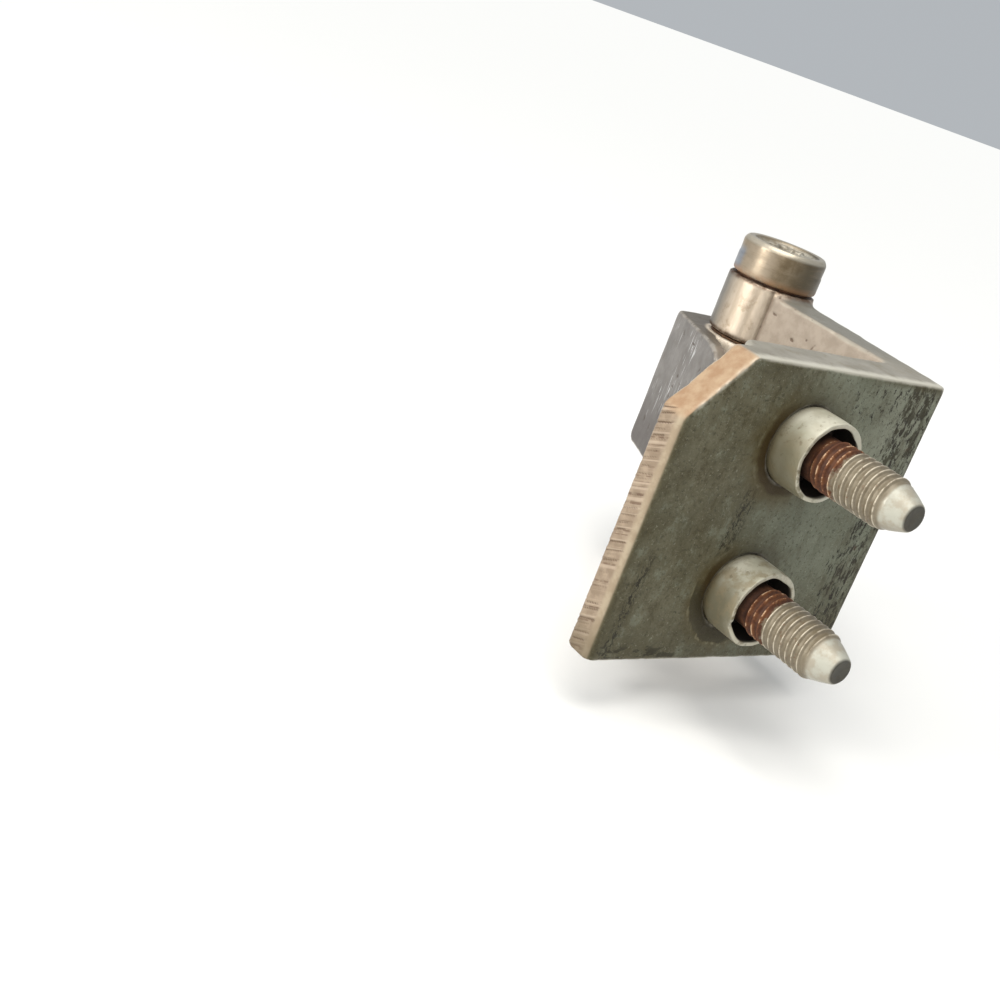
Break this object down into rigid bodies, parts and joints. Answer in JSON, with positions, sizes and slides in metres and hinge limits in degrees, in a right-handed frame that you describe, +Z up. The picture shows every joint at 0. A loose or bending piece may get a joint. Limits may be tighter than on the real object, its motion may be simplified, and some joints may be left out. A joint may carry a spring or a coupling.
{
  "type": "door hinge",
  "caption": "Forged car door hinge: stud plate with an arm and fork, L-shaped door leaf on a headed pin, and captive pointed bolts in centring sleeves.",
  "frame": {"origin": "middle of the bolt pair on the mounting face of the stud plate", "axes": "+X from the plate's free edge to the arm, +Y from the mounting face back to the hinge pin, +Z up along the pin towards its head"},
  "size_m": [0.1092, 0.0957, 0.0798],
  "materials": {
    "forged_leaf": "worn satin",
    "door_leaf": "worn satin",
    "pin_steel": "satin",
    "washer_rust": "matt",
    "bush_bronze": "satin",
    "sleeve_paint": "satin",
    "retainer": "matt",
    "bolt_paint": "satin",
    "washer_steel": "satin"
  },
  "bodies": {
    "body_leaf": {"body_leaf": "forged_leaf", "hinge_pin": "pin_steel", "head_washer": "washer_rust", "sleeve_upper": "sleeve_paint", "sleeve_lower": "sleeve_paint", "retainer_upper": "retainer", "retainer_lower": "retainer"},
    "door_leaf": {"door_leaf": "door_leaf", "bush_upper": "bush_bronze", "bush_lower": "bush_bronze"},
    "bolt_upper": {"bolt_upper": "bolt_paint", "bolt_washer_upper": "washer_steel"},
    "bolt_lower": {"bolt_lower": "bolt_paint", "bolt_washer_lower": "washer_steel"}
  },
  "joints": [
    {"name": "leaf_swing", "type": "hinge", "parent": "body_leaf", "child": "door_leaf", "pos_m": [0.033, 0.0505, 0.0006], "axis": [0, 0, -1], "range_deg": [-29, 94]},
    {"name": "bolt_upper_slide", "type": "slide", "parent": "body_leaf", "child": "bolt_upper", "axis": [0, 1, 0], "range_m": [0, 0.0065]},
    {"name": "bolt_lower_slide", "type": "slide", "parent": "body_leaf", "child": "bolt_lower", "axis": [0, 1, 0], "range_m": [0, 0.0065]}
  ]
}
